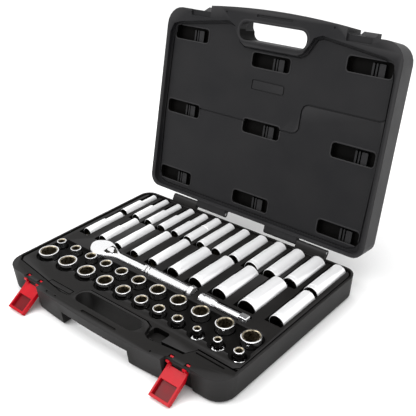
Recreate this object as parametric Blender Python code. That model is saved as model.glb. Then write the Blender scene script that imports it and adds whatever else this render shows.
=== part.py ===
"""A socket wrench set in its blow-moulded carrying case, standing open on the ground.

Metres, +Z up. X runs along the case's hinge, -Y is the handle side. The origin is on the
ground, in the middle of the case base. Lengths are written as numbers times MM.
"""

import math

import bmesh
import bpy
from mathutils import Matrix, Vector

MM = 0.001

# ---- case ----
CASE_WIDTH = 390 * MM
CASE_DEPTH = 279.6 * MM
BASE_HEIGHT = 35.4 * MM
LID_THICKNESS = 35.5 * MM
LID_PANEL_DEPTH = 7 * MM
LID_WINDOW_DEPTH = 9 * MM
LID_WINDOW_SIZE = (64.4 * MM, 20 * MM)
LID_WINDOW_X = 149 * MM
LID_WINDOW_ROWS = (14.4 * MM, 122.1 * MM, 235 * MM)
LID_WINDOW_DROP = 18.8 * MM
LID_FRONT_EXTRA = 1.7 * MM
SEAM_GAP = 0.3 * MM
DRAFT = 3 * MM
BACK_RADIUS = 17.5 * MM
FRONT_RADIUS = 27 * MM
BOW_HALF_WIDTH = 122.5 * MM
BOW_STEP = 7.5 * MM
BOW_RISE = 6.4 * MM
DECK_DROP = 1.4 * MM
GROOVE_DEPTH = 4.5 * MM
GROOVE_WIDTH = 2.6 * MM
GROOVE_INSET = 4.5 * MM

# ---- handle ----
HANDLE_HALF_WIDTH = 56 * MM
HANDLE_HOLE_INSET = 4.8 * MM
HANDLE_HOLE_DEPTH = 23 * MM
HANDLE_BAR_HEIGHT = 14 * MM
HANDLE_CORNER = 11 * MM
HANDLE_RELIEF = 4 * MM

# ---- hinge ----
HINGE_BEHIND = 7.7 * MM
HINGE_RISE = 4 * MM
KNUCKLE_RADIUS = 4.25 * MM
HINGE_PIN_RADIUS = 2 * MM
PIN_CLEARANCE = 0.3 * MM
HINGE_INNER = 36.8 * MM
HINGE_SPLIT = 93 * MM
HINGE_OUTER = 141.6 * MM
KNUCKLE_GAP = 0.5 * MM
LID_OPEN_ANGLE = math.radians(103.9)

# ---- latches ----
LATCH_CENTRE = 131 * MM
LATCH_WIDTH = 30 * MM
LATCH_LENGTH = 44.5 * MM
LATCH_BAR_RADIUS = 2.3 * MM
LATCH_EAR_WIDTH = 5.2 * MM
LATCH_FIT = 0.35 * MM
LATCH_EAR_RADIUS = 4.9 * MM
LATCH_INSET = 1.4 * MM
LATCH_PIVOT_Z = 32.2 * MM
LATCH_BAY_WIDTH = 37 * MM
LATCH_BAY_DEPTH = 5 * MM
LATCH_BAY_TOP = 27.4 * MM
LATCH_FACE = 0.4 * MM
LATCH_HANG = math.radians(57)

# ---- sockets ----
SIDES = 16
DRIVE_SQUARE = 9.7 * MM
DRIVE_END_DIAMETER = 17 * MM
POCKET_CLEARANCE = 1.0 * MM
POCKET_FLOOR_GAP = 0.5 * MM
BORE_WALL = 0.14
SHALLOW_HEIGHT = 26 * MM
SHALLOW_TOP = 41 * MM
SHALLOW_SHOULDER = 13 * MM
FIELD_LEVEL = 31 * MM
FIELD_X = (-183.5 * MM, 184.5 * MM)
FIELD_Y = (-92 * MM, -43 * MM)
SCALLOP_RIM = 4.5 * MM
FINGER_X = (67 * MM, 91 * MM)
FINGER_INSET = 11.8 * MM
FINGER_REACH = 20 * MM
FINGER_DEPTH = 8 * MM
DEEP_LENGTH = 67.7 * MM
DEEP_SINK = 0.44
DEEP_WELL = 8 * MM

SHALLOW_BACK_Y = -58 * MM
SHALLOW_BACK = (
    (-171.5, 13.6), (-140.1, 15.2), (-107.8, 16.5), (-76.8, 16.9), (-46.0, 18.0), (-13.3, 19.8),
    (21.3, 21.9), (57.3, 22.1), (93.5, 23.5), (131.6, 24.1), (170.8, 25.7),
)
SHALLOW_FRONT_Y = -86.1 * MM
SHALLOW_FRONT = (
    (-164.6, 27.9), (-123.4, 25.9), (-84.4, 24.6), (-47.5, 22.7), (-12.9, 20.3), (20.2, 18.1),
    (51.0, 16.4), (82.0, 14.7), (112.9, 10.7), (144.3, 11.1), (175.2, 12.9),
)
DEEP_BACK_Y = 65.2 * MM
DEEP_BACK = (
    (-174.2, 10.5), (-147.4, 11.5), (-120.8, 12.5), (-93.8, 13.5), (-66.1, 14.5), (-40.8, 16.4),
    (-15.2, 16.8), (13.2, 17.2), (44.0, 20.4), (75.0, 22.4), (106.0, 22.8), (137.8, 24.2), (169.9, 22.6),
)
DEEP_FRONT_Y = -9.6 * MM
DEEP_FRONT = (
    (-173.5, 13.4), (-139.4, 14.8), (-106.8, 17.2), (-72.7, 17.6), (-36.7, 18.4), (1.6, 22.4),
    (41.1, 24.0), (81.8, 25.4), (126.1, 29.2), (171.1, 22.6),
)

# ---- ratchet: its own frame has the drive axis at the origin and the handle along +X ----
RATCHET_PLACE = Vector((-118, -28.5, 33)) * MM
HEAD_RADIUS = 17.8 * MM
HEAD_HALF = 7 * MM
NECK_START = 6 * MM
NECK_HALF_WIDTHS = (16.2 * MM, 6.5 * MM)
DRIVE_LENGTH = 11 * MM
NECK_END = 32 * MM
SHAFT_RADIUS = 5 * MM
COLLAR_START = 87 * MM
GRIP_RADIUS = 6.8 * MM
GRIP_END = 165 * MM
KNOB_RADIUS = 9 * MM
RATCHET_END = 174 * MM
CAVITY_RADIUS = 14.5 * MM
GEAR_RADIUS = 12 * MM
GEAR_TEETH = 24
PAWL_PIVOT = 18 * MM
PAWL_REST = math.radians(9)
LEVER_REST = math.radians(-30)
LEVER_RECESS = 5 * MM
BALL_RADIUS = 1.5 * MM
BALL_FIT = 0.3 * MM

# ---- extension: its own frame has the female end at the origin and the bar along +X ----
EXTENSION_PLACE = Vector((69, -30.5, 33)) * MM
EXTENSION_LENGTH = 75.7 * MM
EXTENSION_HEAD_RADIUS = 6.7 * MM
EXTENSION_HEAD_LENGTH = 22 * MM
EXTENSION_BAR_RADIUS = 4.3 * MM
EXTENSION_SQUARE = 9.4 * MM

DECK = BASE_HEIGHT - DECK_DROP
CASE_BACK = CASE_DEPTH / 2
HANDLE_HOLE_FRONT = HANDLE_HOLE_INSET - CASE_BACK
HANDLE_HOLE_BACK = HANDLE_HOLE_FRONT + HANDLE_HOLE_DEPTH
LATCH_PIVOT_Y = LATCH_INSET - CASE_BACK
FINGER_Y = (FINGER_INSET - CASE_BACK, FINGER_INSET - CASE_BACK + FINGER_REACH)
HINGE = Vector((0, CASE_BACK + HINGE_BEHIND, BASE_HEIGHT + HINGE_RISE))
LID_RIM = BASE_HEIGHT + SEAM_GAP
THROUGH = 20 * MM


# ---- scene and materials ----
def clear_scene():
    for obj in list(bpy.data.objects):
        bpy.data.objects.remove(obj, do_unlink=True)


def new_material(name, colour, roughness, metallic):
    material = bpy.data.materials.new(name)
    material.use_nodes = True
    shader = material.node_tree.nodes["Principled BSDF"]
    shader.inputs["Base Color"].default_value = (*colour, 1)
    shader.inputs["Roughness"].default_value = roughness
    shader.inputs["Metallic"].default_value = metallic
    return material


clear_scene()
CASE_PLASTIC = new_material("case_plastic", (0.035, 0.034, 0.036), 0.55, 0)
LATCH_PLASTIC = new_material("latch_plastic", (0.62, 0.01, 0.03), 0.35, 0)
CHROME = new_material("chrome", (0.8, 0.8, 0.82), 0.12, 1)
STEEL = new_material("steel", (0.45, 0.45, 0.46), 0.35, 1)


# ---- shape helpers ----
def object_from(name, mesh_maker, material):
    """A new object whose mesh is filled in by mesh_maker(bm)."""
    mesh = bpy.data.meshes.new(name)
    bm = bmesh.new()
    mesh_maker(bm)
    bmesh.ops.recalc_face_normals(bm, faces=bm.faces)
    bm.to_mesh(mesh)
    bm.free()
    mesh.shade_smooth()
    mesh.set_sharp_from_angle(angle=math.radians(35))
    obj = bpy.data.objects.new(name, mesh)
    bpy.context.scene.collection.objects.link(obj)
    if material:
        obj.data.materials.append(material)
    return obj


def skin(bm, loops, closed=False):
    """Joins loops that have equal counts of points. The ends are capped, or joined when closed."""
    rings = [[bm.verts.new(point) for point in loop] for loop in loops]
    pairs = list(zip(rings, rings[1:]))
    if closed:
        pairs.append((rings[-1], rings[0]))
    for lower, upper in pairs:
        count = len(lower)
        for i in range(count):
            j = (i + 1) % count
            bm.faces.new((lower[i], lower[j], upper[j], upper[i]))
    if not closed:
        bm.faces.new(list(reversed(rings[0])))
        bm.faces.new(rings[-1])


def arc(centre_x, centre_y, radius, start, end, steps):
    """Points on an arc, with the angles in degrees."""
    points = []
    for i in range(steps + 1):
        angle = math.radians(start + (end - start) * i / steps)
        points.append((centre_x + radius * math.cos(angle), centre_y + radius * math.sin(angle)))
    return points


def circle(radius, sides=SIDES, x=0.0, y=0.0):
    return arc(x, y, radius, 0, 360, sides)[:-1]


def square(across, sides=SIDES):
    """A square traced with the same count of points as a circle."""
    points = []
    for i in range(sides):
        angle = 2 * math.pi * i / sides
        reach = across / 2 / max(abs(math.cos(angle)), abs(math.sin(angle)))
        points.append((reach * math.cos(angle), reach * math.sin(angle)))
    return points


def slot(x0, x1, y0, y1, radius, steps=4):
    """A rectangle with round corners."""
    points = arc(x1 - radius, y1 - radius, radius, 0, 90, steps)
    points += arc(x0 + radius, y1 - radius, radius, 90, 180, steps)
    points += arc(x0 + radius, y0 + radius, radius, 180, 270, steps)
    points += arc(x1 - radius, y0 + radius, radius, 270, 360, steps)
    return points


def offset(outline, distance):
    """The closed outline grown outwards by distance. It runs anticlockwise."""
    grown = []
    count = len(outline)
    for i in range(count):
        before, here, after = (Vector(outline[(i + k) % count]) for k in (-1, 0, 1))
        normals = []
        for start, end in ((before, here), (here, after)):
            along = (end - start).normalized()
            normals.append(Vector((along.y, -along.x)))
        mid = (normals[0] + normals[1]).normalized()
        grown.append(tuple(here + mid * distance / max(mid.dot(normals[0]), 0.5)))
    return grown


def at_height(outline, z):
    return [(x, y, z) for x, y in outline]


def prism(name, outline, z0, z1, material=None, foot=None):
    """The outline stood up from z0 to z1. A foot outline makes the sides taper."""
    loops = [at_height(foot or outline, z0), at_height(outline, z1)]
    return object_from(name, lambda bm: skin(bm, loops), material)


def profile_along_x(name, profile, x0, x1, material=None):
    """A (y, z) profile stretched from x0 to x1."""
    loops = [[(x, y, z) for y, z in profile] for x in (x0, x1)]
    return object_from(name, lambda bm: skin(bm, loops), material)


def profile_along_y(name, profile, y0, y1, material=None):
    """An (x, z) profile stretched from y0 to y1."""
    loops = [[(x, y, z) for x, z in profile] for y in (y0, y1)]
    return object_from(name, lambda bm: skin(bm, loops), material)


def stack(name, sections, material=None, closed=False):
    """Outlines stacked along Z, given as (outline, z). A closed stack is a tube."""
    loops = [at_height(outline, z) for outline, z in sections]
    return object_from(name, lambda bm: skin(bm, loops, closed), material)


def lathe_along_x(name, profile, sides, material=None):
    """Round sections stacked along X, given as (x, radius)."""
    loops = [[(x, a, b) for a, b in circle(radius, sides)] for x, radius in profile]
    return object_from(name, lambda bm: skin(bm, loops), material)


def combine(obj, tools, operation):
    """Cuts or joins all tools with one EXACT Boolean. The tools stay as hidden helpers."""
    group = bpy.data.collections.new(f"{obj.name}_{operation.lower()}")
    bpy.context.scene.collection.children.link(group)
    for tool in tools:
        bpy.context.scene.collection.objects.unlink(tool)
        group.objects.link(tool)
        tool.hide_render = True
        tool.display_type = "WIRE"
        tool.hide_set(True)
    modifier = obj.modifiers.new(operation.title(), "BOOLEAN")
    modifier.operation = operation
    modifier.operand_type = "COLLECTION"
    modifier.collection = group
    modifier.solver = "EXACT"


def move_all(objects, place, turn=None):
    for obj in objects:
        obj.location = place
        if turn:
            obj.rotation_euler = turn


# ---- case outlines ----
def case_outline(inset, front):
    """The case seen from above. The middle of the front steps out and bows for the handle."""
    half = CASE_WIDTH / 2 - inset
    back = CASE_BACK - inset
    front = front + inset
    back_radius = BACK_RADIUS - inset
    front_radius = FRONT_RADIUS - inset
    points = arc(half - back_radius, back - back_radius, back_radius, 0, 90, 5)
    points += arc(back_radius - half, back - back_radius, back_radius, 90, 180, 5)
    points += arc(front_radius - half, front + front_radius, front_radius, 180, 270, 6)
    bow_steps = 10
    for i in range(bow_steps + 1):
        across = -1 + 2 * i / bow_steps
        bow = BOW_STEP + BOW_RISE * (1 - across * across)
        points.append((across * BOW_HALF_WIDTH, front - bow))
    points += arc(half - front_radius, front + front_radius, front_radius, 270, 360, 6)
    step_start = -BOW_HALF_WIDTH - BOW_STEP
    first_bow = 19
    points.insert(first_bow, (step_start, front))
    points.insert(first_bow + bow_steps + 2, (-step_start, front))
    return points


def panel_outline():
    """The line of the groove round the tool panel. Its front passes behind the handle opening."""
    half = CASE_WIDTH / 2 - GROOVE_INSET
    back = CASE_BACK - GROOVE_INSET
    radius = BACK_RADIUS - GROOVE_INSET
    points = arc(half - radius, back - radius, radius, 0, 90, 4)
    points += arc(radius - half, back - radius, radius, 90, 180, 4)
    front = (
        (-190.5, -112), (-184, -119), (-133, -126), (-80, -134), (-68, -133), (-61, -126),
        (-58, -114), (-50, -107.5), (52, -107.5), (62, -112), (68, -126), (76, -130),
        (126, -124), (135, -109), (184, -109), (190.5, -103),
    )
    points += [(x * MM, y * MM) for x, y in front]
    return points


# ---- case base ----
def round_pocket(name, x, y, radius, floor):
    return prism(name, circle(radius, SIDES, x, y), floor, BASE_HEIGHT + THROUGH)


def shallow_radius(nose_diameter):
    return max(nose_diameter * MM, DRIVE_END_DIAMETER) / 2


def deep_axis(diameter):
    return DECK - DEEP_SINK * max(diameter * MM, DRIVE_END_DIAMETER) / 2


def shallow_pockets():
    floor = SHALLOW_TOP - SHALLOW_HEIGHT - POCKET_FLOOR_GAP
    tools = []
    for y, row in ((SHALLOW_BACK_Y, SHALLOW_BACK), (SHALLOW_FRONT_Y, SHALLOW_FRONT)):
        for x, diameter in row:
            radius = shallow_radius(diameter) + POCKET_CLEARANCE
            tools.append(round_pocket("pocket", x * MM, y, radius, floor))
    return tools


def shallow_field():
    """The lower level round the short sockets. Each front socket has its own scallop."""
    field = slot(*FIELD_X, *FIELD_Y, 10 * MM)
    tools = [prism("field", field, FIELD_LEVEL, BASE_HEIGHT + THROUGH)]
    for x, diameter in SHALLOW_FRONT:
        radius = shallow_radius(diameter) + SCALLOP_RIM
        tools.append(round_pocket("scallop", x * MM, SHALLOW_FRONT_Y, radius, FIELD_LEVEL))
    return tools


def finger_recess():
    """A hollow beside the handle for a fingertip."""
    outline = slot(*FINGER_X, *FINGER_Y, 4 * MM)
    return [prism("finger", outline, DECK - FINGER_DEPTH, BASE_HEIGHT + THROUGH)]


def deep_pockets():
    """A U-shaped channel for each long socket, which runs on past its near end as a finger well."""
    tools = []
    for near, row in ((DEEP_BACK_Y, DEEP_BACK), (DEEP_FRONT_Y, DEEP_FRONT)):
        for x, diameter in row:
            radius = max(diameter * MM, DRIVE_END_DIAMETER) / 2 + POCKET_CLEARANCE
            profile = arc(x * MM, deep_axis(diameter), radius, 180, 360, 8)
            top = BASE_HEIGHT + THROUGH
            profile += [(x * MM + radius, top), (x * MM - radius, top)]
            far = near + DEEP_LENGTH + POCKET_FLOOR_GAP
            tools.append(profile_along_y("channel", profile, near - DEEP_WELL, far))
    return tools


def neck_outline():
    """The ratchet's head narrowing into its neck, seen from above in the ratchet's frame."""
    wide, narrow = NECK_HALF_WIDTHS
    return [(NECK_START, -wide), (NECK_END, -narrow), (NECK_END, narrow), (NECK_START, wide)]


def tool_pockets():
    """Room for the ratchet and the extension, which lie along X."""
    clear = POCKET_CLEARANCE
    x, y, z = RATCHET_PLACE
    top = BASE_HEIGHT + THROUGH
    tools = [
        round_pocket("head", x, y, HEAD_RADIUS + clear, z - HEAD_HALF - POCKET_FLOOR_GAP),
        round_pocket("drive", x, y, DRIVE_SQUARE, z - HEAD_HALF - DRIVE_LENGTH - 2 * MM),
    ]
    for start, end, radius in (
        (0, COLLAR_START, SHAFT_RADIUS + 2.5 * clear),
        (COLLAR_START - 2 * MM, GRIP_END, GRIP_RADIUS + clear),
        (GRIP_END - 2 * MM, RATCHET_END + clear, KNOB_RADIUS + clear),
    ):
        bed = slot(x + start, x + end, y - radius, y + radius, 2 * MM, 2)
        tools.append(prism("bed", bed, z - radius, top))
    neck = [(x + along, y + across) for along, across in offset(neck_outline(), clear)]
    tools.append(prism("neck", neck, z - HEAD_HALF - POCKET_FLOOR_GAP, top))
    x, y, z = EXTENSION_PLACE
    radius = EXTENSION_HEAD_RADIUS + clear
    bed = slot(x - clear, x + EXTENSION_LENGTH + clear, y - radius, y + radius, 2 * MM, 2)
    tools.append(prism("bed", bed, z - radius, top))
    return tools


def groove_cutter():
    line = panel_outline()
    outer = offset(line, GROOVE_WIDTH / 2)
    inner = offset(line, -GROOVE_WIDTH / 2)
    floor = BASE_HEIGHT - GROOVE_DEPTH
    top = BASE_HEIGHT + THROUGH
    return stack("groove", [(outer, floor), (outer, top), (inner, top), (inner, floor)], closed=True)


def handle_cutters():
    """The finger opening, the space under the bar and the long groove on the bar."""
    half = HANDLE_HALF_WIDTH
    hole = slot(-half, half, HANDLE_HOLE_FRONT, HANDLE_HOLE_BACK, HANDLE_CORNER, 5)
    wide = half + HANDLE_RELIEF
    under = slot(-wide, wide, -CASE_DEPTH, HANDLE_HOLE_BACK - 2 * HANDLE_RELIEF, HANDLE_CORNER, 4)
    groove = slot(-27 * MM, 35 * MM, -146 * MM, -142 * MM, 1.9 * MM)
    return [
        prism("hole", hole, -THROUGH, BASE_HEIGHT + THROUGH),
        prism("under", under, -THROUGH, BASE_HEIGHT - HANDLE_BAR_HEIGHT),
        prism("bar_groove", groove, BASE_HEIGHT - 2 * MM, BASE_HEIGHT + THROUGH),
    ]


def latch_bays():
    """A flat face and a bay in the front wall for each latch, and two notches for its ears."""
    tools = []
    front = -CASE_DEPTH / 2
    bay_top = LATCH_BAY_TOP
    ear_at = (LATCH_WIDTH - LATCH_EAR_WIDTH) / 2
    for side in (-1, 1):
        centre = side * LATCH_CENTRE
        half = LATCH_BAY_WIDTH / 2
        bay = slot(centre - half, centre + half, front - THROUGH, front + LATCH_BAY_DEPTH, 3 * MM, 2)
        tools.append(prism("bay", bay, -THROUGH, bay_top))
        face = slot(centre - half, centre + half, front - THROUGH, front + LATCH_FACE, 2 * MM, 2)
        tools.append(prism("face", face, bay_top - 1 * MM, BASE_HEIGHT + THROUGH))
        for ear in (-1, 1):
            middle = centre + ear * ear_at
            reach = LATCH_EAR_WIDTH / 2 + LATCH_FIT * 2
            notch = slot(middle - reach, middle + reach, front - THROUGH,
                         LATCH_PIVOT_Y + LATCH_EAR_RADIUS + LATCH_FIT, 0.8 * MM, 1)
            tools.append(prism("notch", notch, bay_top - 1 * MM, BASE_HEIGHT + THROUGH))
    return tools


def latch_bars():
    bars = []
    for side in (-1, 1):
        half = LATCH_BAY_WIDTH / 2 + 1 * MM
        profile = circle(LATCH_BAR_RADIUS, 12, LATCH_PIVOT_Y, LATCH_PIVOT_Z)
        centre = side * LATCH_CENTRE
        bars.append(profile_along_x("latch_bar", profile, centre - half, centre + half))
    return bars


def base_knuckle(x0, x1):
    """A hinge knuckle on a web that rises from the back wall. It stays out of the lid's sweep."""
    y, z = HINGE.y, HINGE.z
    wall = CASE_BACK - DRAFT - 2 * MM
    profile = arc(y, z, KNUCKLE_RADIUS, -45, 175, 10)
    profile += [(CASE_BACK, BASE_HEIGHT - 1 * MM), (wall, BASE_HEIGHT - 1 * MM), (wall, 18 * MM)]
    return profile_along_x("base_knuckle", profile, x0, x1)


def hinge_bores():
    """The holes through the knuckles, which run a little past them at both ends."""
    bores = []
    for side in (-1, 1):
        ends = sorted((side * (HINGE_INNER - KNUCKLE_GAP), side * (HINGE_OUTER + KNUCKLE_GAP)))
        profile = circle(HINGE_PIN_RADIUS + PIN_CLEARANCE, 12, HINGE.y, HINGE.z)
        bores.append(profile_along_x("bore", profile, *ends))
    return bores


def make_base():
    front = -CASE_DEPTH / 2
    base = prism("case_base", case_outline(0, front), 0, BASE_HEIGHT, CASE_PLASTIC,
                 foot=case_outline(DRAFT, front))
    panel = prism("panel", panel_outline(), DECK, BASE_HEIGHT + THROUGH)
    cuts = [panel, groove_cutter()] + handle_cutters() + latch_bays()
    cuts += shallow_field() + shallow_pockets() + deep_pockets() + tool_pockets() + finger_recess()
    combine(base, cuts, "DIFFERENCE")
    knuckles = []
    for side in (-1, 1):
        ends = sorted((side * (HINGE_SPLIT + KNUCKLE_GAP / 2), side * HINGE_OUTER))
        knuckles.append(base_knuckle(*ends))
    combine(base, knuckles + latch_bars(), "UNION")
    combine(base, hinge_bores(), "DIFFERENCE")
    return base


# ---- case lid, drawn closed on the base and then swung open about the hinge ----
def lid_knuckle(x0, x1):
    y, z = HINGE.y, HINGE.z
    profile = arc(y, z, KNUCKLE_RADIUS, -100, 100, 10)
    inside = CASE_BACK - 4 * MM
    profile += [(CASE_BACK - 1 * MM, z + 8 * MM), (inside, z + 8 * MM), (inside, LID_RIM + 0.6 * MM)]
    return profile_along_x("lid_knuckle", profile, x0, x1)


def lid_panel_outline():
    """The sunken panel inside the lid, which leaves the rim and the handle's border standing."""
    half = CASE_WIDTH / 2 - 7 * MM
    back = CASE_BACK - 5 * MM
    radius = BACK_RADIUS - 5 * MM
    points = arc(half - radius, back - radius, radius, 0, 90, 4)
    points += arc(radius - half, back - radius, radius, 90, 180, 4)
    front = (
        (-188, -104), (-182, -117), (-170, -121), (-78, -134), (-66, -129), (-60, -118),
        (-52, -107), (-44, -103), (44, -103), (52, -107), (60, -118), (66, -129),
        (78, -134), (170, -121), (182, -117), (188, -104),
    )
    points += [(x * MM, y * MM) for x, y in front]
    return points


def lid_windows():
    tools = []
    width, height = LID_WINDOW_SIZE
    floor = LID_RIM + LID_PANEL_DEPTH + LID_WINDOW_DEPTH
    for x in (-LID_WINDOW_X, 0, LID_WINDOW_X):
        for from_hinge in LID_WINDOW_ROWS:
            y = CASE_BACK - from_hinge
            if from_hinge == LID_WINDOW_ROWS[-1] and x == 0:
                y += LID_WINDOW_DROP
            outline = slot(x - width / 2, x + width / 2, y - height, y, 5 * MM, 3)
            tools.append(prism("window", outline, LID_RIM - THROUGH, floor))
    return tools


def lid_front_bays():
    """Room in the lid's front for each latch's ears and its plate when the case is shut."""
    tools = []
    front = -CASE_DEPTH / 2 - LID_FRONT_EXTRA
    half = LATCH_BAY_WIDTH / 2
    inner = LATCH_PIVOT_Y + LATCH_EAR_RADIUS + 1 * MM
    for side in (-1, 1):
        centre = side * LATCH_CENTRE
        bay = slot(centre - half, centre + half, front - THROUGH, inner, 2 * MM, 2)
        tools.append(prism("ear_bay", bay, 0, LATCH_PIVOT_Z + LATCH_EAR_RADIUS + 1.5 * MM))
        face = slot(centre - half, centre + half, front - THROUGH, front + LATCH_FACE, 2 * MM, 2)
        tools.append(prism("plate_bay", face, LATCH_PIVOT_Z, LID_RIM + LID_THICKNESS + THROUGH))
    return tools


def lid_catches():
    """The ledge that each latch's lip hooks over."""
    tools = []
    front = -CASE_DEPTH / 2 - LID_FRONT_EXTRA
    half = 11 * MM
    reach = 4.6 * MM
    top = LATCH_PIVOT_Z + 39.6 * MM
    for side in (-1, 1):
        centre = side * LATCH_CENTRE
        profile = [
            (front + 4 * MM, top - 16 * MM), (front + 0.5 * MM, top - 16 * MM), (front - reach, top - 6 * MM),
            (front - reach, top), (front + 8 * MM, top),
        ]
        tools.append(profile_along_x("catch", profile, centre - half, centre + half))
    return tools


def lid_handle_cutters():
    half = HANDLE_HALF_WIDTH
    hole = slot(-half, half, HANDLE_HOLE_FRONT - 1 * MM, HANDLE_HOLE_BACK + 1 * MM, HANDLE_CORNER, 5)
    wide = half + HANDLE_RELIEF
    over = slot(-wide, wide, -CASE_DEPTH, HANDLE_HOLE_BACK - 2 * HANDLE_RELIEF, HANDLE_CORNER, 4)
    return [
        prism("hole", hole, 0, LID_RIM + LID_THICKNESS + THROUGH),
        prism("over", over, LID_RIM + HANDLE_BAR_HEIGHT, LID_RIM + LID_THICKNESS + THROUGH),
    ]


def make_lid():
    front = -CASE_DEPTH / 2 - LID_FRONT_EXTRA
    lid = prism("case_lid", case_outline(DRAFT, front), LID_RIM, LID_RIM + LID_THICKNESS,
                CASE_PLASTIC, foot=case_outline(0, front))
    panel = prism("lid_panel", lid_panel_outline(), 0, LID_RIM + LID_PANEL_DEPTH)
    cuts = [panel] + lid_windows() + lid_handle_cutters() + lid_front_bays()
    combine(lid, cuts, "DIFFERENCE")
    added = lid_catches()
    for side in (-1, 1):
        ends = sorted((side * HINGE_INNER, side * (HINGE_SPLIT - KNUCKLE_GAP / 2)))
        added.append(lid_knuckle(*ends))
    combine(lid, added, "UNION")
    bores = hinge_bores()
    combine(lid, bores, "DIFFERENCE")
    parts = [lid] + cuts + added + bores
    for obj in parts:
        obj.data.transform(Matrix.Translation(-HINGE))
    move_all(parts, HINGE, (-LID_OPEN_ANGLE, 0, 0))
    return lid


def make_hinge_pins():
    end_gap = 0.5 * MM
    for name, side in (("hinge_pin_left", -1), ("hinge_pin_right", 1)):
        ends = sorted((side * (HINGE_INNER + end_gap), side * (HINGE_OUTER - end_gap)))
        profile = [(ends[0], HINGE_PIN_RADIUS), (ends[1], HINGE_PIN_RADIUS)]
        pin = lathe_along_x(name, profile, 12, STEEL)
        pin.location = HINGE


# ---- latches: drawn shut, standing up from the pivot, then hung out on their stops ----
def make_latch(name, side):
    half = LATCH_WIDTH / 2
    ear = LATCH_EAR_WIDTH
    inner = -4.2 * MM
    outer = -10 * MM
    pocket = -8 * MM
    lip = 3.4 * MM
    plate_start = 5 * MM
    ledge = 22 * MM
    upper = [(inner, plate_start), (inner, ledge), (outer, ledge), (outer, plate_start + 8 * MM),
             (inner - 2.4 * MM, plate_start)]
    latch = profile_along_x(name, upper, -half + 1 * MM, half - 1 * MM, LATCH_PLASTIC)
    floor = [(pocket, ledge - 2 * MM), (pocket, LATCH_LENGTH - lip / 2),
             (outer, LATCH_LENGTH - lip / 2), (outer, ledge - 2 * MM)]
    end_lip = [(inner, LATCH_LENGTH - lip), (inner, LATCH_LENGTH), (outer + 1.5 * MM, LATCH_LENGTH),
               (outer, LATCH_LENGTH - 1.5 * MM), (outer, LATCH_LENGTH - lip)]
    added = [
        profile_along_x("floor", floor, -half + 0.5 * MM, half - 0.5 * MM),
        profile_along_x("lip", end_lip, -half, half),
    ]
    wall = 2.6 * MM
    for edge in (-1, 1):
        ends = sorted((edge * half, edge * (half - wall)))
        profile = [(inner, plate_start + 1 * MM), (inner, LATCH_LENGTH - 1 * MM), (outer, LATCH_LENGTH - 1 * MM),
                   (outer, plate_start + 8 * MM), (inner - 2.4 * MM, plate_start + 1 * MM)]
        added.append(profile_along_x("wall", profile, *ends))
        ends = sorted((edge * half, edge * (half - ear)))
        hook = arc(0, 0, LATCH_EAR_RADIUS, 45, 270, 12)
        hook += arc(0, 0, LATCH_BAR_RADIUS + LATCH_FIT, 270, 45, 12)
        added.append(profile_along_x("ear", hook, *ends))
        arm = [(-4.6 * MM, -0.5 * MM), (-2.9 * MM, 0.8 * MM), (-2.9 * MM, 2.4 * MM), (inner, 10 * MM),
               (inner - 3 * MM, 10 * MM)]
        added.append(profile_along_x("arm", arm, *ends))
    combine(latch, added, "UNION")
    hang = math.pi - LATCH_HANG
    move_all([latch] + added, (side * LATCH_CENTRE, LATCH_PIVOT_Y, LATCH_PIVOT_Z), (hang, 0, 0))
    return latch


# ---- sockets ----
def socket_mesh(name, length, nose_diameter, shoulder):
    """A socket standing on its drive end. Small ones step down to a narrow nose."""
    nose = nose_diameter / 2
    foot = max(nose, DRIVE_END_DIAMETER / 2)
    bore = nose - max(BORE_WALL * nose, 1.4 * MM)
    bore_floor = length * 0.55
    sections = [(square(DRIVE_SQUARE), 0), (circle(foot), 0)]
    if foot > nose:
        sections += [(circle(foot), shoulder), (circle(nose), shoulder + 1 * MM)]
    sections += [(circle(nose), length), (circle(bore), length), (circle(bore), bore_floor)]
    hole = min(DRIVE_SQUARE, bore * 1.4)
    sections += [(square(hole), bore_floor - 0.5 * MM)]
    return stack(name, sections, CHROME, closed=True)


def make_sockets():
    for row_name, y, row in (
        ("shallow_back", SHALLOW_BACK_Y, SHALLOW_BACK),
        ("shallow_front", SHALLOW_FRONT_Y, SHALLOW_FRONT),
    ):
        for number, (x, diameter) in enumerate(row, 1):
            shoulder = SHALLOW_HEIGHT - SHALLOW_SHOULDER
            obj = socket_mesh(f"socket_{row_name}_{number:02d}", SHALLOW_HEIGHT, diameter * MM, shoulder)
            obj.location = (x * MM, y, SHALLOW_TOP - SHALLOW_HEIGHT)
    for row_name, y, row in (
        ("deep_back", DEEP_BACK_Y, DEEP_BACK),
        ("deep_front", DEEP_FRONT_Y, DEEP_FRONT),
    ):
        for number, (x, diameter) in enumerate(row, 1):
            shoulder = DEEP_LENGTH * 0.55
            obj = socket_mesh(f"socket_{row_name}_{number:02d}", DEEP_LENGTH, diameter * MM, shoulder)
            obj.location = (x * MM, y, deep_axis(diameter))
            obj.rotation_euler = (-math.pi / 2, 0, 0)


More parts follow.
